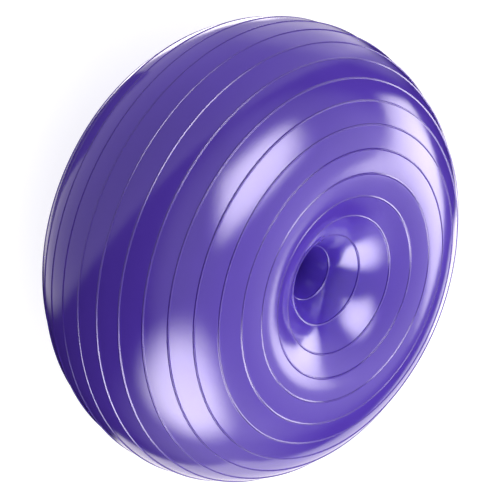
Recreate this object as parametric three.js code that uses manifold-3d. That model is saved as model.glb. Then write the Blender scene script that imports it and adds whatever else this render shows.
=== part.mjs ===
// Inflatable doughnut exercise ball, pumped up and lying flat on the floor. Millimetres.
// The origin is on the floor under the middle of the ball, and +Z is the ball's axis.
// The ball is one hollow moulding: a round cushion with a dimple above and below, and a tube
// through the middle that joins the dimples. A valve sits in its side wall, on the +Y side.
import * as THREE from 'three';
import { mergeVertices } from 'three/addons/utils/BufferGeometryUtils.js';
import Module from 'manifold-3d';

const ball = {
  skinRadius: 249, // outside radius at half height, between the rings
  skinHeight: 265, // height of the free shape, between the rings
  crownRadius: 122.5, // radius of the circle along which the cushion is highest
  throatRadius: 15, // radius of the hole in the middle, where it is narrowest
  throatLength: 40, // length over which the hole keeps that radius
  wall: 1.5,
  flattening: 0.7, // how far the ball's weight presses its crown flat on the floor
};

// The rings are thin raised lines that run round the ball. Their places are distances along
// the skin from half height, so they are evenly spaced over the outside and the crown.
const ring = {
  height: 1,
  width: 2.4,
  firstAbove: 8.2, // from half height up to the nearest ring
  pitch: 24.6,
  evenReach: 60, // how far past the crown, into the dimple, the rings keep that pitch
  funnelPitch: 32,
  funnelCount: 2, // rings further down each dimple
};

const valve = {
  bossMargin: 3, // how far the thick round boss reaches past the seat's flange
  bossStep: 0.8, // how far it stands inside the wall, at the flange's furthest edge
  sleeveRadius: 10.4,
  sleeveLength: 18,
  flangeWidth: 4.6,
  flangeDepth: 2,
  rimWidth: 1.8, // of the seat, round the plug's head
  boreRadius: 5, // at the mouth
  boreTaper: 0.6, // how much smaller the bore's radius is at its inner end
  headDepth: 2.2,
  stemLength: 18,
  tipLength: 1.5, // of the stem's rounded end, and how much that end narrows
  tipNarrowing: 1,
  edge: 0.5, // bevel round the head
  beadHeight: 0.15,
  beadReach: 0.8, // from a bead's top to its foot, along the stem
  beadSpacing: 4.5,
  beadCount: 2,
};

const fit = {
  joint: 0.3, // between faces that touch on the real object
  stem: 0.25, // between the plug's stem and the bore
};

const facets = {
  round: 40, // sides of everything that goes round the ball
  small: 32, // sides of the valve's pieces
  step: 26, // longest straight stretch along the outside of the skin
  cavityStep: 25, // and along the inside
};

// The upper half's outline is two quarter ellipses that meet on the crown, and the throat.
const halfHeight = ball.skinHeight / 2;
const straight = ball.throatLength / 2;
const outside = { width: ball.skinRadius - ball.crownRadius, height: halfHeight };
const dimple = { width: ball.crownRadius - ball.throatRadius, height: halfHeight - straight };
const middleHeight = halfHeight - ball.flattening; // of the middle plane above the floor

const wasm = await Module();
wasm.setup();

function toSolid(geometry) {
  const bare = geometry.clone();
  bare.deleteAttribute('normal');
  bare.deleteAttribute('uv');
  const merged = mergeVertices(bare, 1e-4);
  return new wasm.Manifold(new wasm.Mesh({
    numProp: 3,
    vertProperties: new Float32Array(merged.attributes.position.array),
    triVerts: new Uint32Array(merged.index.array),
  }));
}

function toGeometry(solid) {
  const mesh = solid.getMesh();
  const geometry = new THREE.BufferGeometry();
  geometry.setAttribute('position', new THREE.BufferAttribute(mesh.vertProperties, 3));
  geometry.setIndex(new THREE.BufferAttribute(mesh.triVerts, 1));
  geometry.computeVertexNormals();
  return geometry;
}

// From the outside at half height, over the crown, down the dimple and into the throat as far
// as half height. x is the radius and y the height.
function upperOutline() {
  const path = new THREE.CurvePath();
  path.add(new THREE.EllipseCurve(
    ball.crownRadius, 0, outside.width, outside.height, 0, Math.PI / 2));
  path.add(new THREE.EllipseCurve(
    ball.crownRadius, straight, dimple.width, dimple.height, Math.PI / 2, Math.PI));
  path.add(new THREE.LineCurve(
    new THREE.Vector2(ball.throatRadius, straight), new THREE.Vector2(ball.throatRadius, 0)));
  return path;
}

const outline = upperOutline();
const outlineLength = outline.getLength();
const crownPlace = outline.getCurveLengths()[0];

// The point at a distance along the skin from half height, negative below it, raised by lift
// along the skin's normal and kept above the floor.
function skinPoint(distance, lift, floor) {
  const share = Math.abs(distance) / outlineLength;
  const point = outline.getPoint(share);
  const along = outline.getTangent(share);
  const height = Math.sign(distance) * (point.y - along.x * lift);
  return new THREE.Vector2(point.x + along.y * lift, Math.max(middleHeight + height, floor));
}

function ringPlaces() {
  const places = [];
  for (const side of [-1, 1]) {
    let place = side > 0 ? ring.firstAbove : ring.pitch - ring.firstAbove;
    for (; place <= crownPlace + ring.evenReach; place += ring.pitch) places.push(side * place);
    const lastEven = place - ring.pitch;
    for (let count = 1; count <= ring.funnelCount; count += 1) {
      places.push(side * (lastEven + count * ring.funnelPitch));
    }
  }
  return places.sort((a, b) => a - b);
}

// How far the flat band on the floor reaches from the crown, on the side with that ellipse.
function bandReach(ellipse) {
  return ellipse.width * Math.sqrt(1 - (1 - ball.flattening / ellipse.height) ** 2);
}

// Evenly spaced places from one place up to, but not including, the next.
function evenPlaces(from, to, longest) {
  const steps = Math.ceil((to - from) / longest);
  return Array.from({ length: steps }, (_, i) => from + (to - from) * i / steps);
}

// A closed loop round the cushion's cross-section, turned about the ball's axis.
function turned(points) {
  const loop = [...points, points[0].clone()];
  return new THREE.LatheGeometry(loop, facets.round).rotateX(Math.PI / 2);
}

function outerShape() {
  const ringPoints = ringPlaces().flatMap((place) => [
    { place: place - ring.width / 2, lift: 0 },
    { place, lift: ring.height },
    { place: place + ring.width / 2, lift: 0 },
  ]);
  const corners = [
    { place: -outlineLength, lift: 0 },
    { place: -crownPlace - bandReach(dimple), lift: 0 },
    { place: -crownPlace + bandReach(outside), lift: 0 },
    ...ringPoints,
  ].sort((a, b) => a.place - b.place);
  const points = corners.flatMap(({ place, lift }, i) => {
    const end = i + 1 < corners.length ? corners[i + 1].place : outlineLength;
    const [, ...between] = evenPlaces(place, end, facets.step);
    return [skinPoint(place, lift, 0), ...between.map((at) => skinPoint(at, 0, 0))];
  });
  return turned(points);
}

function cavityShape() {
  const places = evenPlaces(-outlineLength, outlineLength, facets.cavityStep);
  return turned(places.map((at) => skinPoint(at, -ball.wall, ball.wall)));
}

// The valve's axis runs along +Y, halfway between the two rings nearest half height.
// Its pieces are drawn with y = 0 at the outer face of the boss.
const flangeRadius = valve.sleeveRadius + valve.flangeWidth;
const flangeEdge = ring.pitch / 2 - ring.firstAbove + flangeRadius; // from half height
const fallAlong = ball.skinRadius - skinPoint(flangeEdge, 0, 0).x;
const fallAround = ball.skinRadius - Math.sqrt(ball.skinRadius ** 2 - flangeRadius ** 2);
const bossRadius = flangeRadius + valve.bossMargin;
const bossDepth = ring.height + ball.wall + fallAlong + fallAround + valve.bossStep;
const recessRadius = valve.sleeveRadius - valve.rimWidth;
const recessDepth = valve.headDepth + fit.joint;
const valvePlace = new THREE.Vector3(
  0, ball.skinRadius + ring.height, middleHeight + ring.firstAbove - ring.pitch / 2);

function disc(radius, outerFace, innerFace) {
  return new THREE.CylinderGeometry(radius, radius, outerFace - innerFace, facets.small)
    .translate(valvePlace.x, valvePlace.y + (outerFace + innerFace) / 2, valvePlace.z);
}

function ballSkinGeometry() {
  const boss = toSolid(disc(bossRadius, 0, -bossDepth));
  const hole = toSolid(disc(
    valve.sleeveRadius + fit.joint, bossDepth, -2 * bossDepth));
  const shell = toSolid(outerShape()).subtract(toSolid(cavityShape()));
  return toGeometry(shell.add(boss).subtract(hole));
}

function lathed(outlinePoints) {
  const points = outlinePoints.map(([radius, y]) => new THREE.Vector2(radius, y));
  return new THREE.LatheGeometry(points, facets.small);
}

function boreRadiusAt(y) {
  const share = (-y - recessDepth) / (valve.sleeveLength - recessDepth);
  return valve.boreRadius - valve.boreTaper * share;
}

// A sleeve through the wall, a flange behind the boss, and a recess for the plug's head.
function valveSeatGeometry() {
  const flangeFace = -bossDepth - fit.joint;
  return lathed([
    [recessRadius, 0],
    [recessRadius, -recessDepth],
    [boreRadiusAt(-recessDepth), -recessDepth],
    [boreRadiusAt(-valve.sleeveLength), -valve.sleeveLength],
    [valve.sleeveRadius, -valve.sleeveLength],
    [valve.sleeveRadius, flangeFace - valve.flangeDepth],
    [flangeRadius, flangeFace - valve.flangeDepth],
    [flangeRadius, flangeFace],
    [valve.sleeveRadius, flangeFace],
    [valve.sleeveRadius, 0],
    [recessRadius, 0],
  ]);
}

// A stopper with a flat head and a tapered stem with low sealing beads round it.
function valvePlugGeometry() {
  const tip = -valve.headDepth - valve.stemLength;
  const stemRadiusAt = (y) => boreRadiusAt(Math.min(y, -recessDepth)) - fit.stem;
  const points = [
    [0, tip],
    [stemRadiusAt(tip) - valve.tipNarrowing, tip],
    [stemRadiusAt(tip), tip + valve.tipLength],
  ];
  for (let count = valve.beadCount; count >= 1; count -= 1) {
    const bead = -valve.headDepth - count * valve.beadSpacing;
    points.push([stemRadiusAt(bead - valve.beadReach), bead - valve.beadReach]);
    points.push([stemRadiusAt(bead) + valve.beadHeight, bead]);
    points.push([stemRadiusAt(bead + valve.beadReach), bead + valve.beadReach]);
  }
  const headRadius = recessRadius - fit.joint;
  points.push([stemRadiusAt(-valve.headDepth), -valve.headDepth]);
  points.push([headRadius, -valve.headDepth], [headRadius, -valve.edge]);
  points.push([headRadius - valve.edge, 0], [0, 0]);
  return lathed(points);
}

const materials = {
  purpleVinyl: new THREE.MeshStandardMaterial({ color: 0x6a4fc0, roughness: 0.18, metalness: 0 }),
  purpleInsert: new THREE.MeshStandardMaterial({ color: 0x5a41aa, roughness: 0.35, metalness: 0 }),
  whitePlastic: new THREE.MeshStandardMaterial({ color: 0xf1efe9, roughness: 0.4, metalness: 0 }),
};

function part(name, geometry, material) {
  const mesh = new THREE.Mesh(geometry, material);
  mesh.name = name;
  return mesh;
}

const valveGroup = new THREE.Group();
valveGroup.position.copy(valvePlace);
valveGroup.add(part('valve_seat', valveSeatGeometry(), materials.purpleInsert));
valveGroup.add(part('valve_plug', valvePlugGeometry(), materials.whitePlastic));

const group = new THREE.Group();
group.add(part('ball_skin', ballSkinGeometry(), materials.purpleVinyl));
group.add(valveGroup);

export default group;
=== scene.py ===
import math

import bmesh
import bpy
import numpy as np
from mathutils import Matrix, Vector


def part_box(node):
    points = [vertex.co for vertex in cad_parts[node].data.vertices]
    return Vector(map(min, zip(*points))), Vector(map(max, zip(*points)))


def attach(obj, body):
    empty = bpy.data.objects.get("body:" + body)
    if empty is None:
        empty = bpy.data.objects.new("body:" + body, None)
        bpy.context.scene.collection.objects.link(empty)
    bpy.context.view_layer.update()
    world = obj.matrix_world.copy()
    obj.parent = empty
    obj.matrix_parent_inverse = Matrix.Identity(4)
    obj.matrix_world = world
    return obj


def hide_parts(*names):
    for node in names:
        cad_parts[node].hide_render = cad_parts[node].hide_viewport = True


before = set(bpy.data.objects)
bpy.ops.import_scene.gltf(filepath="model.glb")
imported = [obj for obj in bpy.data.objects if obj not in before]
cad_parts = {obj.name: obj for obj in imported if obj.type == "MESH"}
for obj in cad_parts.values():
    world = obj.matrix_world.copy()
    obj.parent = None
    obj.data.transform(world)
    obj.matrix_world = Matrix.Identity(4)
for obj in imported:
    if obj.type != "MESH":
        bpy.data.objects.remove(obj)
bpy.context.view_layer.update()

# An inflatable doughnut ball of glossy vinyl, lying flat. Metres, with the origin on the floor
# under the ball's middle and +Z along its axis. "Distance" is always measured along the skin
# from half height on the outside: over the crown and down the dimple into the throat it grows,
# and on the lower half it is negative.

# The skin, as in the CAD model.
SKIN_RADIUS = 0.249
SKIN_HEIGHT = 0.265
CROWN_RADIUS = 0.1225
THROAT_RADIUS = 0.015
THROAT_LENGTH = 0.040
WALL = 0.0015
FLATTENING = 0.0007
HALF_HEIGHT = SKIN_HEIGHT / 2
MIDDLE = HALF_HEIGHT - FLATTENING

# The raised rings.
RING_HEIGHT = 0.0008
RING_FOOT = 0.0026
FIRST_RING_ABOVE = 0.0082
RING_PITCH = 0.0246
EVEN_REACH = 0.060
FUNNEL_PITCH = 0.032
FUNNEL_RINGS = 2

# How the vinyl stands between the rings, and how far it is from a perfect shape.
BAND_BULGE = 0.000012
WAVE_HEIGHT = 0.00012
WAVE_COUNT = 14
WAVE_SEED = 11

# The distance at which painted shade starts to darken the vinyl's colour on its way down to the
# throat.
THROAT_SHADE_START = 0.27

# The valve. Its place, its lengths and its widest radii come from the CAD nodes.
SEAT_LOW, SEAT_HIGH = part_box("valve_seat")
PLUG_LOW, PLUG_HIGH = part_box("valve_plug")
VALVE = Vector(((SEAT_LOW.x + SEAT_HIGH.x) / 2, SEAT_HIGH.y, (SEAT_LOW.z + SEAT_HIGH.z) / 2))
FLANGE_RADIUS = (SEAT_HIGH.x - SEAT_LOW.x) / 2
HEAD_RADIUS = (PLUG_HIGH.x - PLUG_LOW.x) / 2
SLEEVE_RADIUS = 0.0104
SLEEVE_LENGTH = SEAT_HIGH.y - SEAT_LOW.y
PLUG_LENGTH = PLUG_HIGH.y - PLUG_LOW.y
BOSS_RADIUS = FLANGE_RADIUS + 0.003
BOSS_SHOULDER = 0.0026
BOSS_DEPTH = 0.0051
BOSS_EDGE = 0.0006
HOLE_RADIUS = SLEEVE_RADIUS + 0.00012
HOLE_LIP = 0.0007
HOLE_MARGIN = 0.0015
RECESS_RADIUS = HEAD_RADIUS + 0.00025
RECESS_DEPTH = 0.0025
HEAD_DEPTH = 0.0022
FLANGE_DEPTH = 0.002
FLANGE_GAP = 0.0002
BORE_MOUTH = 0.005
BORE_END = 0.0044
STEM_PLAY = 0.0002
STEM_HOLLOW = 0.011
STEM_WALL = 0.0016
STEM_CHAMFER = 0.0015
STEM_NARROWING = 0.0007
HEAD_RIM = 0.0016
HEAD_SLOPE = 0.0005
HEAD_DISH = 0.00035
GATE_RADIUS = 0.0011
GATE_SLOPE = 0.0002
GATE_DEPTH = 0.0003

# The rings and waves are level with the plain skin up to the first of these distances from
# the valve's axis, and have their full height from the second on.
RELIEF_START = 0.025
RELIEF_FULL = 0.031

# How finely the outline and the meshes are cut.
OUTLINE_STEPS = 1500
COLUMNS = 288
ROW_STEP = 0.004
RING_STEPS = 12
CAVITY_STEP = 0.009
SHOULDER_LOOPS = 9
VALVE_COLUMNS = 96
FILLET_STEPS = 5

# Extra rows just past a ring's foot, which keep its shading off the plain skin.
BESIDE_RING = (0.0003, 0.0012)


# ---------------------------------------------------------------- the skin's outline

def quarter_ellipse(centre, width, height, start):
    """Radius, height and outward normal along a quarter turn that starts at that angle."""
    turn = np.linspace(start, start + math.pi / 2, OUTLINE_STEPS)
    points = np.stack([centre[0] + width * np.cos(turn), centre[1] + height * np.sin(turn)], 1)
    normals = np.stack([np.cos(turn) / width, np.sin(turn) / height], 1)
    return points, normals / np.linalg.norm(normals, axis=1)[:, None]


def upper_outline():
    """Distance, point and normal from half height outside to half height in the throat."""
    straight = THROAT_LENGTH / 2
    outside, outside_normals = quarter_ellipse(
        (CROWN_RADIUS, 0), SKIN_RADIUS - CROWN_RADIUS, HALF_HEIGHT, 0)
    dimple, dimple_normals = quarter_ellipse(
        (CROWN_RADIUS, straight), CROWN_RADIUS - THROAT_RADIUS, HALF_HEIGHT - straight,
        math.pi / 2)
    throat = np.array([[THROAT_RADIUS, 0.0]])
    points = np.concatenate([outside, dimple[1:], throat])
    normals = np.concatenate([outside_normals, dimple_normals[1:], [[-1.0, 0.0]]])
    steps = np.linalg.norm(np.diff(points, axis=0), axis=1)
    distance = np.concatenate([[0], np.cumsum(steps)])
    return distance, points, normals, distance[len(outside) - 1]


OUTLINE, OUTLINE_POINTS, OUTLINE_NORMALS, CROWN_PLACE = upper_outline()
HALF_LENGTH = OUTLINE[-1]


def skin_point(distance, angle, lift, floor):
    """Where the skin is at that distance and angle, raised by lift and kept above the floor."""
    along = np.abs(distance)
    side = np.where(distance < 0, -1, 1)
    radius = np.interp(along, OUTLINE, OUTLINE_POINTS[:, 0])
    height = np.interp(along, OUTLINE, OUTLINE_POINTS[:, 1])
    radius = radius + lift * np.interp(along, OUTLINE, OUTLINE_NORMALS[:, 0])
    height = height + lift * np.interp(along, OUTLINE, OUTLINE_NORMALS[:, 1])
    z = np.maximum(MIDDLE + side * height, floor)
    return np.stack(np.broadcast_arrays(radius * np.cos(angle), radius * np.sin(angle), z), -1)


def ring_places():
    """Distances of all the rings: evenly spaced over the crown, and wider apart down the funnel."""
    places = []
    for side in (-1, 1):
        first = FIRST_RING_ABOVE if side > 0 else RING_PITCH - FIRST_RING_ABOVE
        count = int((CROWN_PLACE + EVEN_REACH - first) / RING_PITCH) + 1
        even = [first + k * RING_PITCH for k in range(count)]
        funnel = [even[-1] + (k + 1) * FUNNEL_PITCH for k in range(FUNNEL_RINGS)]
        places += [side * place for place in even + funnel]
    return np.array(sorted(places))


RINGS = ring_places()


# ---------------------------------------------------------------- relief on the skin

def ring_relief(distance):
    """Height of the nearest ring's rounded ridge."""
    nearest = np.abs(distance[..., None] - RINGS).min(-1)
    inside = nearest < RING_FOOT / 2
    return np.where(inside, RING_HEIGHT * 0.5 * (1 + np.cos(2 * math.pi * nearest / RING_FOOT)), 0)


def ring_flank(distance, angle):
    """How steep the ring is there: 0 on the plain skin and on its top, and 1 on its flanks."""
    nearest = np.abs(distance[..., None] - RINGS).min(-1)
    steep = np.abs(np.sin(2 * math.pi * np.minimum(nearest, RING_FOOT / 2) / RING_FOOT))
    return steep * clear_of_valve(distance, angle)


def painted_shade(distance, angle):
    """How much painted shade darkens the vinyl's colour: fully on the rings' flanks and down in the
    throat, where shade falls.
    """
    throat = smooth_step(np.abs(distance), THROAT_SHADE_START, HALF_LENGTH - THROAT_LENGTH / 2)
    return np.maximum(ring_flank(distance, angle), throat)


def band_relief(distance):
    """The slight swell of the vinyl between one ring and the next, round the whole outline."""
    lap = 2 * HALF_LENGTH
    edges = np.concatenate([[RINGS[-1] - lap], RINGS, [RINGS[0] + lap]])
    band = np.clip(np.searchsorted(edges, distance) - 1, 0, len(edges) - 2)
    share = (distance - edges[band]) / (edges[band + 1] - edges[band])
    return BAND_BULGE * np.sin(math.pi * np.clip(share, 0, 1))


def wave_relief(distance, angle):
    """Long shallow waves that close on themselves both round the ball and along the outline."""
    draw = np.random.default_rng(WAVE_SEED)
    total = 0
    for _ in range(WAVE_COUNT):
        around = draw.integers(1, 9)
        along = draw.integers(-5, 6)
        phase = draw.uniform(0, 2 * math.pi)
        total = total + np.cos(around * angle + math.pi * along * distance / HALF_LENGTH + phase)
    return WAVE_HEIGHT * total / math.sqrt(WAVE_COUNT)


def smooth_step(value, start, end):
    """0 up to start and then smoothly up to 1 at end."""
    share = np.clip((value - start) / (end - start), 0, 1)
    return share * share * (3 - 2 * share)


VALVE_ANGLE = math.atan2(VALVE.y, VALVE.x)
VALVE_DISTANCE = VALVE.z - MIDDLE


def from_valve(distance, angle):
    """How far a place on the skin is from the valve's axis."""
    turn = (angle - VALVE_ANGLE + math.pi) % (2 * math.pi) - math.pi
    return np.hypot(turn * SKIN_RADIUS, distance - VALVE_DISTANCE)


def clear_of_valve(distance, angle):
    """0 on and round the valve's boss, and 1 over the rest of the skin, smoothly joined."""
    return smooth_step(from_valve(distance, angle), RELIEF_START, RELIEF_FULL)


def outer_lift(distance, angle):
    """The rings and the skin's small waves, which die away before the valve."""
    relief = ring_relief(distance) + band_relief(distance) + wave_relief(distance, angle)
    return relief * clear_of_valve(distance, angle)


# ---------------------------------------------------------------- the skin's mesh

PATCH_COLUMNS = 4
PATCH_REACH = PATCH_COLUMNS * 2 * math.pi / COLUMNS * SKIN_RADIUS

# Where the loops round the boss lie, from 0 at its shoulder to 1 at the patch's border.
PATCH_SHARES = (0.8, 0.6, 0.4, 0.2)


def column_angles():
    return np.arange(COLUMNS) * 2 * math.pi / COLUMNS


def even_rows(step):
    count = 2 * round(HALF_LENGTH / step)
    return np.linspace(-HALF_LENGTH, HALF_LENGTH, count, endpoint=False)


def outer_rows():
    """Distances of the mesh's rows: close over each ring, and at the patch's ends and the floor."""
    half = RING_FOOT / 2
    beside = half + np.array(BESIDE_RING)
    across = np.concatenate([-beside, np.linspace(-half, half, RING_STEPS + 1), beside])
    ridges = (RINGS[:, None] + across).ravel()
    clear = np.abs(even_rows(ROW_STEP)[:, None] - RINGS).min(1) > beside[-1] + ROW_STEP / 4
    ends = [VALVE_DISTANCE - PATCH_REACH, VALVE_DISTANCE + PATCH_REACH]
    rows = np.concatenate([ridges, even_rows(ROW_STEP)[clear], ends, [-CROWN_PLACE]])
    return np.unique(rows.round(7))


def in_patch(rows):
    """Which rows cross the patch that holds the valve, with the two at its ends."""
    return np.abs(rows - VALVE_DISTANCE) < PATCH_REACH + 1e-6


def grid_faces(row_count, hole_rows, hole_columns):
    """Quads of a grid that closes both ways, without those inside the patch."""
    faces = []
    for row in range(row_count):
        for column in range(COLUMNS):
            if row in hole_rows and column in hole_columns:
                continue
            next_row = (row + 1) % row_count * COLUMNS
            right = (column + 1) % COLUMNS
            faces.append((row * COLUMNS + column, row * COLUMNS + right,
                          next_row + right, next_row + column))
    return faces


def patch_border(first_row, last_row, first_column, last_column):
    """Grid vertices round the patch, in order."""
    columns = list(range(first_column, last_column))
    rows = list(range(first_row, last_row))
    border = [(first_row, column) for column in columns]
    border += [(row, last_column) for row in rows]
    border += [(last_row, column + 1) for column in reversed(columns)]
    border += [(row + 1, first_column) for row in reversed(rows)]
    return [row * COLUMNS + column for row, column in border]


def side_wall(x, z, inset):
    """The y of the skin's +Y side at x and z, that far inside its outer surface."""
    width = SKIN_RADIUS - CROWN_RADIUS
    radius = CROWN_RADIUS + width * np.sqrt(1 - ((z - MIDDLE) / HALF_HEIGHT) ** 2) - inset
    return np.sqrt(radius ** 2 - x ** 2)


def valve_patch(border, radii, inset, boss_face):
    """Loops of vertices from the patch's square border in to the round valve hole."""
    offsets = border - np.array(VALVE)
    turn = np.arctan2(offsets[:, 2], offsets[:, 0])
    first_x = radii[0] * np.cos(turn) + VALVE.x
    first_z = radii[0] * np.sin(turn) + VALVE.z
    relief = border[:, 1] - side_wall(border[:, 0], border[:, 2], inset)
    loops = []
    for share in PATCH_SHARES:
        x = first_x + (border[:, 0] - first_x) * share
        z = first_z + (border[:, 2] - first_z) * share
        y = side_wall(x, z, inset) + relief * share ** 2
        loops.append(np.stack([x, y, z], 1))
    for radius in radii:
        x = radius * np.cos(turn) + VALVE.x
        z = radius * np.sin(turn) + VALVE.z
        free = smooth_step(np.full(len(x), radius), BOSS_RADIUS, BOSS_RADIUS + BOSS_SHOULDER)
        y = boss_face(radius) * (1 - free) + side_wall(x, z, inset) * free
        loops.append(np.stack([x, y, z], 1))
    return loops


def skin_sheet(rows, lift, floor, radii, inset, boss_face):
    """One whole surface of the skin: its vertices, its faces and the rim of the valve hole."""
    distance, angle = np.meshgrid(rows, column_angles(), indexing="ij")
    grid = skin_point(distance, angle, lift(distance, angle), floor).reshape(-1, 3)
    patch_rows = np.flatnonzero(in_patch(rows))
    first_row, last_row = patch_rows[0], patch_rows[-1]
    valve_column = round(VALVE_ANGLE / (2 * math.pi) * COLUMNS)
    first_column, last_column = valve_column - PATCH_COLUMNS, valve_column + PATCH_COLUMNS
    faces = grid_faces(
        len(rows), range(first_row, last_row), range(first_column, last_column))
    loop = patch_border(first_row, last_row, first_column, last_column)
    patch = valve_patch(grid[loop], radii, inset, boss_face)
    vertices = np.concatenate([grid, *patch])
    for number in range(len(patch)):
        start = len(grid) + number * len(loop)
        next_loop = list(range(start, start + len(loop)))
        faces += band_faces(loop, next_loop)
        loop = next_loop
    return vertices, faces, loop


def band_faces(loop, other):
    """Quads between two closed loops of vertices."""
    count = len(loop)
    return [(loop[k], loop[(k + 1) % count], other[(k + 1) % count], other[k])
            for k in range(count)]


def lip_face(radius):
    """The y of the boss's outer face, which rounds over into the hole."""
    into = max(HOLE_RADIUS + HOLE_LIP - radius, 0)
    return VALVE.y - HOLE_LIP + math.sqrt(HOLE_LIP ** 2 - into ** 2)


def mesh_object(name, vertices, faces, depth=None):
    """A smooth mesh with its doubled vertices merged. Depth is each vertex's share of painted
    shade.
    """
    mesh = bpy.data.meshes.new(name)
    mesh.from_pydata(np.asarray(vertices).tolist(), [], faces)
    if depth is not None:
        mesh.attributes.new("painted_shade", "FLOAT", "POINT").data.foreach_set("value", depth)
    work = bmesh.new()
    work.from_mesh(mesh)
    bmesh.ops.remove_doubles(work, verts=work.verts, dist=1e-7)
    bmesh.ops.recalc_face_normals(work, faces=work.faces)
    work.to_mesh(mesh)
    work.free()
    mesh.shade_smooth()
    piece = bpy.data.objects.new(name, mesh)
    bpy.context.scene.collection.objects.link(piece)
    return piece


def cavity_rows(outer):
    """The air space's rows, which match the outer surface's rows over the valve patch."""
    even = even_rows(CAVITY_STEP)
    return np.unique(np.concatenate([even[~in_patch(even)], outer[in_patch(outer)]]))


def cavity_lift(distance, angle):
    """The air space's surface lies one wall inside the plain skin everywhere."""
    return np.full(angle.shape, -WALL)


def cavity_face(radius):
    """The y of the boss's inner face, the same at every radius."""
    return VALVE.y - BOSS_DEPTH


def boss_loops(*further):
    """Radii of the loops down the boss's shoulder and over its edge, then those further in."""
    shoulder = np.linspace(BOSS_RADIUS + BOSS_SHOULDER, BOSS_RADIUS, SHOULDER_LOOPS)
    return [*shoulder, BOSS_RADIUS - BOSS_EDGE, *further]


def make_skin():
    """The outer surface, the air space's surface and the wall of the hole that joins them."""
    lip = HOLE_RADIUS + HOLE_LIP * (1 - np.cos(np.linspace(math.pi / 2, 0, FILLET_STEPS + 1)))
    outer_radii = boss_loops((BOSS_RADIUS + HOLE_RADIUS) / 2, HOLE_RADIUS + HOLE_MARGIN, *lip)
    inner_radii = boss_loops(HOLE_RADIUS + BOSS_EDGE, HOLE_RADIUS)
    rows = outer_rows()
    outer, outer_faces, outer_rim = skin_sheet(rows, outer_lift, 0, outer_radii, 0, lip_face)
    inner, inner_faces, inner_rim = skin_sheet(
        cavity_rows(rows), cavity_lift, WALL, inner_radii, WALL, cavity_face)
    start = len(outer)
    inner_faces = [tuple(corner + start for corner in face) for face in inner_faces]
    inner_rim = [corner + start for corner in inner_rim]
    faces = outer_faces + inner_faces + band_faces(outer_rim, inner_rim)
    # Painted shade for each outer vertex, kept as a point attribute; the air space's surface gets
    # none.
    depth = np.zeros(len(outer) + len(inner))
    distance, angle = np.meshgrid(rows, column_angles(), indexing="ij")
    depth[:distance.size] = painted_shade(distance, angle).ravel()
    return mesh_object("ball_skin_fine", np.concatenate([outer, inner]), faces, depth)


# ---------------------------------------------------------------- the valve's pieces

def rounded(corners):
    """An outline from (radius, y, fillet) corners. A fillet of 0 leaves the corner sharp."""
    points = []
    count = len(corners)
    for k, (radius, y, fillet) in enumerate(corners):
        here = Vector((radius, y))
        if fillet == 0:
            points.append(here)
            continue
        before = (Vector(corners[k - 1][:2]) - here).normalized()
        after = (Vector(corners[(k + 1) % count][:2]) - here).normalized()
        half = before.angle(after) / 2
        reach = fillet / math.tan(half)
        centre = here + (before + after).normalized() * fillet / math.sin(half)
        start = here + before * reach - centre
        end = here + after * reach - centre
        for step in range(FILLET_STEPS + 1):
            share = step / FILLET_STEPS
            spoke = start.lerp(end, share).normalized() * fillet
            points.append(centre + spoke)
    return points


def lathed(name, outline, closed):
    """The outline turned about the valve's axis. Its y is measured from the boss's outer face."""
    angle = np.arange(VALVE_COLUMNS) * 2 * math.pi / VALVE_COLUMNS
    rings = [np.stack([VALVE.x + point.x * np.cos(angle),
                       np.full(VALVE_COLUMNS, VALVE.y + point.y),
                       VALVE.z + point.x * np.sin(angle)], 1) for point in outline]
    loops = [list(range(k * VALVE_COLUMNS, (k + 1) * VALVE_COLUMNS))
             for k in range(len(outline))]
    faces = []
    for k in range(len(loops) if closed else len(loops) - 1):
        faces += band_faces(loops[k], loops[(k + 1) % len(loops)])
    return mesh_object(name, np.concatenate(rings), faces)


def bore_radius(y):
    """The seat's bore narrows evenly from the recess's floor to the sleeve's inner end."""
    share = min(max((-y - RECESS_DEPTH) / (SLEEVE_LENGTH - RECESS_DEPTH), 0), 1)
    return BORE_MOUTH + (BORE_END - BORE_MOUTH) * share


def make_seat():
    """The soft insert: a sleeve, a flange behind the boss and a recess for the plug's head."""
    flange_face = -BOSS_DEPTH - FLANGE_GAP
    outline = rounded([
        (RECESS_RADIUS, 0, 0.0005),
        (RECESS_RADIUS, -RECESS_DEPTH, 0.0004),
        (BORE_MOUTH, -RECESS_DEPTH, 0.0006),
        (BORE_END, -SLEEVE_LENGTH, 0.0008),
        (SLEEVE_RADIUS, -SLEEVE_LENGTH, 0.0012),
        (SLEEVE_RADIUS, flange_face - FLANGE_DEPTH, 0.0010),
        (FLANGE_RADIUS, flange_face - FLANGE_DEPTH, 0.0007),
        (FLANGE_RADIUS, flange_face, 0.0003),
        (SLEEVE_RADIUS, flange_face, 0.0003),
        (SLEEVE_RADIUS, 0, 0.0005),
    ])
    return lathed("valve_seat_fine", outline, True)


def stem_beads(count, spacing, reach, height):
    """Low sealing beads round the plug's stem, from the tip's end up to the head."""
    corners = []
    for number in range(count, 0, -1):
        y = -HEAD_DEPTH - number * spacing
        radius = bore_radius(y) - STEM_PLAY
        corners += [(radius, y - reach, 0.0002), (radius + height, y, 0.0003),
                    (radius, y + reach, 0.0002)]
    return corners


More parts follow.
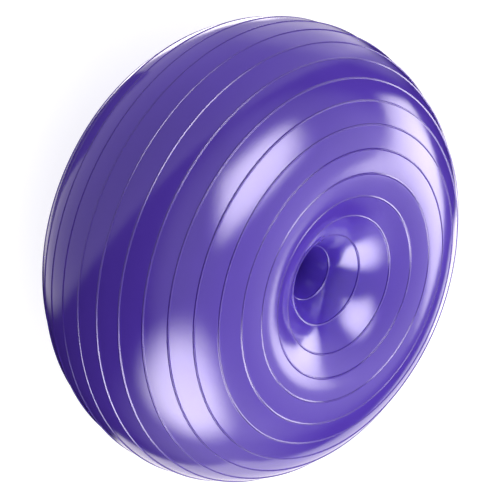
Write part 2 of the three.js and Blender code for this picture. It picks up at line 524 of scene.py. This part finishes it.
def make_plug():
    """The stopper: a shallow dished head with a gate mark, a stem with beads and a hollow tip."""
    neck = bore_radius(-HEAD_DEPTH) - STEM_PLAY
    end = bore_radius(-PLUG_LENGTH) - STEM_PLAY
    hollow = end - STEM_WALL
    slope_end = HEAD_RADIUS - HEAD_RIM - HEAD_SLOPE
    gate_floor = -HEAD_DISH - GATE_DEPTH
    outline = rounded([
        (0, -PLUG_LENGTH + STEM_HOLLOW, 0),
        (hollow, -PLUG_LENGTH + STEM_HOLLOW, 0.0006),
        (hollow, -PLUG_LENGTH, 0.0003),
        (end - STEM_NARROWING, -PLUG_LENGTH, 0.0004),
        (end, -PLUG_LENGTH + STEM_CHAMFER, 0.0008),
        *stem_beads(count=2, spacing=0.0045, reach=0.0008, height=0.00015),
        (neck, -HEAD_DEPTH, 0.0005),
        (HEAD_RADIUS, -HEAD_DEPTH, 0.0003),
        (HEAD_RADIUS, 0, 0.0007),
        (HEAD_RADIUS - HEAD_RIM, 0, 0.0003),
        (slope_end, -HEAD_DISH, 0.0003),
        (GATE_RADIUS, -HEAD_DISH, 0.0002),
        (GATE_RADIUS - GATE_SLOPE, gate_floor, 0.0002),
        (0, gate_floor, 0),
    ])
    plug = lathed("valve_plug_fine", outline, False)
    cut_nail_notch(plug)
    return plug


def cut_nail_notch(plug):
    """Presses a fingernail's notch into the top edge of the plug's head, on its upper side."""
    depth, half_turn, turn_edge = 0.0009, 0.18, 0.42
    inner_edge, outer_edge = HEAD_RADIUS - 0.0024, HEAD_RADIUS - 0.0008
    deepest, shallowest = -0.0013, -0.0004
    for vertex in plug.data.vertices:
        offset = vertex.co - VALVE
        radius = math.hypot(offset.x, offset.z)
        turn = abs(math.atan2(offset.x, offset.z))
        near = 1 - float(smooth_step(turn, half_turn, turn_edge))
        outer = float(smooth_step(radius, inner_edge, outer_edge))
        shallow = float(smooth_step(offset.y, deepest, shallowest))
        vertex.co.y -= depth * near * outer * shallow


# ---------------------------------------------------------------- materials

def add(tree, kind, **values):
    """A new node of that kind, with the given properties set."""
    node = tree.nodes.new(kind)
    for name, value in values.items():
        setattr(node, name, value)
    return node


def noise(tree, scale, detail, roughness=0.5):
    """A noise texture over the object's own coordinates, with scale in waves per metre."""
    place = add(tree, "ShaderNodeTexCoord")
    texture = add(tree, "ShaderNodeTexNoise")
    texture.inputs["Scale"].default_value = scale
    texture.inputs["Detail"].default_value = detail
    texture.inputs["Roughness"].default_value = roughness
    tree.links.new(place.outputs["Object"], texture.inputs["Vector"])
    return texture.outputs["Fac"]


def ranged(tree, value, low, high, start=0.3, end=0.7):
    """The value stretched from start..end to low..high."""
    node = add(tree, "ShaderNodeMapRange", clamp=True)
    node.inputs["From Min"].default_value = start
    node.inputs["From Max"].default_value = end
    node.inputs["To Min"].default_value = low
    node.inputs["To Max"].default_value = high
    tree.links.new(value, node.inputs["Value"])
    return node.outputs["Result"]


def blended(tree, share, first, second):
    """A colour between two, by share. Each of the two is a colour or a node's output."""
    node = add(tree, "ShaderNodeMix", data_type="RGBA")
    sockets = {socket.identifier: socket for socket in node.inputs}
    tree.links.new(share, sockets["Factor_Float"])
    for socket, colour in ((sockets["A_Color"], first), (sockets["B_Color"], second)):
        if isinstance(colour, bpy.types.NodeSocket):
            tree.links.new(colour, socket)
        else:
            socket.default_value = (*colour, 1)
    return {socket.identifier: socket for socket in node.outputs}["Result_Color"]


def bumped(tree, heights):
    """A normal from (height, strength, distance) layers, one on another."""
    normal = None
    for height, strength, distance in heights:
        node = add(tree, "ShaderNodeBump")
        node.inputs["Strength"].default_value = strength
        node.inputs["Distance"].default_value = distance
        tree.links.new(height, node.inputs["Height"])
        if normal:
            tree.links.new(normal, node.inputs["Normal"])
        normal = node.outputs["Normal"]
    return normal


def new_material(name):
    """A material with nodes, its tree and its shader."""
    material = bpy.data.materials.new(name)
    material.use_nodes = True
    tree = material.node_tree
    return material, tree, tree.nodes["Principled BSDF"]


def vinyl():
    """Glossy purple PVC: a cloudy colour with painted shade on the rings' flanks and down the
    throat, and faint orange peel.
    """
    material, tree, shader = new_material("glossy_purple_vinyl")
    colour = blended(tree, ranged(tree, noise(tree, 9, 4), 0, 1),
                     (0.103, 0.047, 0.505), (0.117, 0.055, 0.556))
    # Painted shade: the colour is darkened towards a deeper purple where the painted shade
    # attribute says.
    shade_attribute = add(tree, "ShaderNodeAttribute", attribute_name="painted_shade")
    share = ranged(tree, shade_attribute.outputs["Fac"], 0, 0.8, 0, 1)
    shaded_colour = blended(tree, share, colour, (0.078, 0.034, 0.330))
    tree.links.new(shaded_colour, shader.inputs["Base Color"])
    gloss = ranged(tree, noise(tree, 35, 5), 0.12, 0.16)
    tree.links.new(gloss, shader.inputs["Roughness"])
    normal = bumped(tree, [(noise(tree, 420, 2), 0.05, 0.0004), (noise(tree, 60, 2), 0.06, 0.0012)])
    tree.links.new(normal, shader.inputs["Normal"])
    shader.inputs["IOR"].default_value = 1.53
    return material


def insert_vinyl():
    """The valve seat: the same colour, thicker and duller."""
    material, tree, shader = new_material("dull_purple_vinyl")
    colour = blended(tree, ranged(tree, noise(tree, 160, 4), 0, 1),
                     (0.095, 0.047, 0.360), (0.115, 0.058, 0.420))
    tree.links.new(colour, shader.inputs["Base Color"])
    gloss = ranged(tree, noise(tree, 700, 4), 0.30, 0.42)
    tree.links.new(gloss, shader.inputs["Roughness"])
    normal = bumped(tree, [(noise(tree, 2200, 3), 0.15, 0.00006)])
    tree.links.new(normal, shader.inputs["Normal"])
    shader.inputs["IOR"].default_value = 1.53
    return material


def white_polythene():
    """The plug: waxy white polythene with slightly dirty patches."""
    material, tree, shader = new_material("white_polythene")
    colour = blended(tree, ranged(tree, noise(tree, 240, 5), 0, 1),
                     (0.80, 0.79, 0.755), (0.88, 0.875, 0.85))
    tree.links.new(colour, shader.inputs["Base Color"])
    gloss = ranged(tree, noise(tree, 900, 4), 0.34, 0.48)
    tree.links.new(gloss, shader.inputs["Roughness"])
    normal = bumped(tree, [(noise(tree, 2600, 3), 0.12, 0.00005)])
    tree.links.new(normal, shader.inputs["Normal"])
    shader.inputs["Subsurface Weight"].default_value = 0.25
    shader.inputs["Subsurface Scale"].default_value = 0.002
    return material


# ---------------------------------------------------------------- the studio

LIGHT_DISTANCE = 2.5
FLAG_NEARNESS = 0.9
CARD_TINT = (1.0, 0.94, 0.98, 1)
FLOOR_REACH = 12.0
BALL_CENTRE = Vector((0, 0, MIDDLE))


def direction(azimuth, elevation):
    """A unit vector, with both angles in degrees and azimuth counted from +X towards +Y."""
    a, e = math.radians(azimuth), math.radians(elevation)
    return Vector((math.cos(e) * math.cos(a), math.cos(e) * math.sin(a), math.sin(e)))


def place_panel(panel, azimuth, elevation, turn, nearness=1):
    """Puts a panel round the ball, with its +Z away from the ball, turned about that axis.

    Nearness is its share of the lights' distance.
    """
    outward = direction(azimuth, elevation)
    upright = outward.to_track_quat("Z", "Y").to_matrix()
    panel.location = BALL_CENTRE + outward * LIGHT_DISTANCE * nearness
    panel.rotation_euler = (upright @ Matrix.Rotation(math.radians(turn), 3, "Z")).to_euler()
    bpy.context.scene.collection.objects.link(panel)


def span(angle):
    """Half the width of a panel that is that many degrees across, seen from the ball."""
    return LIGHT_DISTANCE * math.tan(math.radians(angle / 2))


def multiplied(tree, first, second):
    """The product of two nodes' outputs."""
    node = add(tree, "ShaderNodeMath", operation="MULTIPLY")
    tree.links.new(first, node.inputs[0])
    tree.links.new(second, node.inputs[1])
    return node.outputs[0]


def falling(tree, value, start, end):
    """1 up to start and then smoothly down to 0 at end."""
    node = add(tree, "ShaderNodeMapRange", interpolation_type="SMOOTHSTEP")
    node.inputs["From Min"].default_value = start
    node.inputs["From Max"].default_value = end
    node.inputs["To Min"].default_value = 1
    node.inputs["To Max"].default_value = 0
    tree.links.new(value, node.inputs["Value"])
    return node.outputs["Result"]


def across_card(tree, width, height):
    """The place on the card, from -1 to 1 over its width and its height."""
    place = add(tree, "ShaderNodeTexCoord")
    scaled = add(tree, "ShaderNodeVectorMath", operation="MULTIPLY")
    scaled.inputs[1].default_value = (1 / width, 1 / height, 0)
    tree.links.new(place.outputs["Object"], scaled.inputs[0])
    return scaled.outputs[0]


def square_falloff(tree, place, edge):
    """1 in the middle of a square card, and 0 at its four sides."""
    split = add(tree, "ShaderNodeSeparateXYZ")
    tree.links.new(place, split.inputs[0])
    sides = []
    for axis in "XY":
        size = add(tree, "ShaderNodeMath", operation="ABSOLUTE")
        tree.links.new(split.outputs[axis], size.inputs[0])
        sides.append(falling(tree, size.outputs[0], edge, 1))
    return multiplied(tree, *sides)


def drooping(tree, reach, droop):
    """1 in the middle and 1 - droop at a reach of 1, so a negative droop brightens the edge."""
    square = multiplied(tree, reach, reach)
    middle = add(tree, "ShaderNodeMath", operation="MULTIPLY_ADD")
    middle.inputs[1].default_value = -droop
    middle.inputs[2].default_value = 1
    tree.links.new(square, middle.inputs[0])
    return middle.outputs[0]


def card_glow(width, height, edge, droop, radiance, is_round):
    """Light that fades towards the card's edges, and adds to what is behind the card."""
    material = bpy.data.materials.new("card_glow")
    material.use_nodes = True
    material.cycles.emission_sampling = "NONE"
    tree = material.node_tree
    tree.nodes.clear()
    place = across_card(tree, width, height)
    length = add(tree, "ShaderNodeVectorMath", operation="LENGTH")
    tree.links.new(place, length.inputs[0])
    reach = length.outputs["Value"]
    glow = falling(tree, reach, edge, 1) if is_round else square_falloff(tree, place, edge)
    lit = add(tree, "ShaderNodeMath", operation="MAXIMUM")
    lit.inputs[1].default_value = 0
    tree.links.new(multiplied(tree, glow, drooping(tree, reach, droop)), lit.inputs[0])
    strength = add(tree, "ShaderNodeMath", operation="MULTIPLY")
    strength.inputs[1].default_value = radiance
    tree.links.new(lit.outputs[0], strength.inputs[0])
    light = add(tree, "ShaderNodeEmission")
    light.inputs["Color"].default_value = CARD_TINT
    tree.links.new(strength.outputs[0], light.inputs["Strength"])
    clear = add(tree, "ShaderNodeBsdfTransparent")
    both = add(tree, "ShaderNodeAddShader")
    tree.links.new(light.outputs[0], both.inputs[0])
    tree.links.new(clear.outputs[0], both.inputs[1])
    output = add(tree, "ShaderNodeOutputMaterial")
    tree.links.new(both.outputs[0], output.inputs["Surface"])
    return material


def board(name, azimuth, elevation, turn, across, up, nearness, material):
    """A flat board round the ball, at that share of the lights' distance."""
    width, height = span(across) * nearness, span(up) * nearness
    corners = [(-width, -height, 0), (width, -height, 0), (width, height, 0), (-width, height, 0)]
    mesh = bpy.data.meshes.new(name)
    mesh.from_pydata(corners, [], [(0, 1, 2, 3)])
    mesh.materials.append(material)
    flat = bpy.data.objects.new(name, mesh)
    place_panel(flat, azimuth, elevation, turn, nearness)
    return flat


def show_in_gloss_only(flat):
    """Hides the board from everything but reflections."""
    flat.visible_camera = False
    flat.visible_diffuse = False
    flat.visible_shadow = False
    flat.visible_transmission = False
    flat.visible_volume_scatter = False


def card(name, azimuth, elevation, turn, across, up, edge, droop, radiance, is_round=False):
    """A glowing card that shows only in reflections, so that it can be any strength."""
    glow = card_glow(span(across), span(up), edge, droop, radiance, is_round)
    show_in_gloss_only(board(name, azimuth, elevation, turn, across, up, 1, glow))


def flag(name, azimuth, elevation, turn, across, up):
    """A black board that shows only in reflections, in front of the cards."""
    material, _, shader = new_material("black_felt")
    shader.inputs["Base Color"].default_value = (0.01, 0.01, 0.01, 1)
    shader.inputs["Roughness"].default_value = 1
    show_in_gloss_only(board(name, azimuth, elevation, turn, across, up, FLAG_NEARNESS, material))


def wash(name, azimuth, elevation, across, radiance):
    """A wide soft round light of that radiance, which shows in no reflection."""
    light = bpy.data.lights.new(name, "AREA")
    light.shape = "DISK"
    light.size = 2 * span(across)
    area = math.pi * span(across) ** 2
    light.energy = radiance * math.pi * area
    lamp = bpy.data.objects.new(name, light)
    place_panel(lamp, azimuth, elevation, 0)
    lamp.visible_camera = False
    lamp.visible_glossy = False


def make_lights():
    """The cards give the gloss its highlights, and the washes light the colour and the floor.

    Angles are in degrees. A card's numbers are azimuth, elevation, turn, across, up, edge,
    droop and radiance. A wash's are azimuth, elevation, across and radiance.
    """
    card("large_softbox", -1, 31.7, 0, 70, 70, 0.34, 0.62, 13.0, is_round=True)
    card("softbox_halo", 18, 20, 0, 100, 100, 0.0, 0.4, 1.3, is_round=True)
    card("overhead_softbox", -149.6, 64.1, 9, 56, 48, 0.44, 0.75, 14.4)
    card("strip_softbox", 117.9, 24.3, -36, 53, 28, 0.80, 0.50, 9.2)
    card("strip_halo", 112, 42, 0, 80, 80, 0.0, 0.5, 0.8, is_round=True)
    card("paper_sweep", -144.4, -47.3, 0, 140.4, 140.4, 0.72, -1.1, 0.60, is_round=True)
    card("sweep_wing", 154, -22, 0, 60, 52, 0.5, 0.3, 0.6, is_round=True)
    card("far_card", 71, -20, 0, 66, 50, 0.9, 0, 1.55)
    card("rim_card", 96, -12, 0, 16, 26, 0.7, 0, 1.5)
    card("low_card", 121, -54, 0, 34, 22, 0.6, 0, 2.6)
    card("ceiling", 0, 89.9, 0, 142, 142, 0.35, 0, 1.0, is_round=True)
    flag("low_flag", 150, -79, 0, 34, 24)
    wash("right_wash", 0, 31.6, 50, 2.3)
    wash("overhead_wash", 0, 89.9, 80, 0.25)
    wash("left_wash", 180, 40, 90, 0.85)
    wash("back_wash", 90, 40, 90, 0.75)
    wash("front_wash", -90, 55, 60, 0.4)
    wash("bounce_wash", -130, -45, 90, 1.05)
    wash("floor_bounce", 0, -89.9, 90, 0.12)


def make_world():
    """A pale surround that only the camera sees, past the edge of the floor."""
    world = bpy.data.worlds.new("pale_surround")
    world.use_nodes = True
    background = world.node_tree.nodes["Background"]
    background.inputs["Color"].default_value = (1, 1, 1, 1)
    background.inputs["Strength"].default_value = 0.9
    world.cycles_visibility.glossy = False
    world.cycles_visibility.diffuse = False
    bpy.context.scene.world = world


def make_floor():
    """A plain pale floor, which neither shows in the ball's gloss nor lights its colour."""
    sides = ((-1, -1), (1, -1), (1, 1), (-1, 1))
    corners = [(x * FLOOR_REACH, y * FLOOR_REACH, 0) for x, y in sides]
    floor = mesh_object("studio_floor", corners, [(0, 1, 2, 3)])
    material, tree, shader = new_material("pale_paper")
    colour = blended(tree, ranged(tree, noise(tree, 3, 3), 0, 1),
                     (0.30, 0.30, 0.30), (0.34, 0.34, 0.34))
    tree.links.new(colour, shader.inputs["Base Color"])
    shader.inputs["Roughness"].default_value = 0.9
    shader.inputs["Emission Color"].default_value = (1, 1, 1, 1)
    shader.inputs["Emission Strength"].default_value = 0.86
    floor.data.materials.append(material)
    floor.visible_glossy = False
    floor.visible_diffuse = False
    floor.visible_shadow = False


def make_camera():
    """Looks along +Y and down, and is rolled so that the ball's axis points right and down."""
    elevation, roll, distance, lens = 42.0, 112.7, 1.996, 136.0
    aim_right, aim_up = -0.0085, 0.0016
    data = bpy.data.cameras.new("camera")
    data.lens = lens
    data.sensor_width = 36
    data.clip_start = 0.05
    data.clip_end = 50
    camera = bpy.data.objects.new("camera", data)
    back = direction(-90, elevation)
    level = back.to_track_quat("Z", "Y").to_matrix()
    turned = level @ Matrix.Rotation(math.radians(roll), 3, "Z")
    aim = BALL_CENTRE + turned @ Vector((aim_right, aim_up, 0))
    camera.location = aim + back * distance
    camera.rotation_euler = turned.to_euler()
    bpy.context.scene.collection.objects.link(camera)
    bpy.context.scene.camera = camera


# ---------------------------------------------------------------- putting it together

def dress(piece, material, body, node):
    """Gives a piece its finish and its place in the frame."""
    piece.data.materials.append(material)
    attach(piece, body)
    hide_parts(node)


make_camera()
skin = make_skin()
seat = make_seat()
plug = make_plug()
dress(skin, vinyl(), "ball", "ball_skin")
dress(seat, insert_vinyl(), "ball", "valve_seat")
dress(plug, white_polythene(), "plug", "valve_plug")
make_floor()
make_world()
make_lights()
bpy.context.scene.view_settings.view_transform = "Standard"
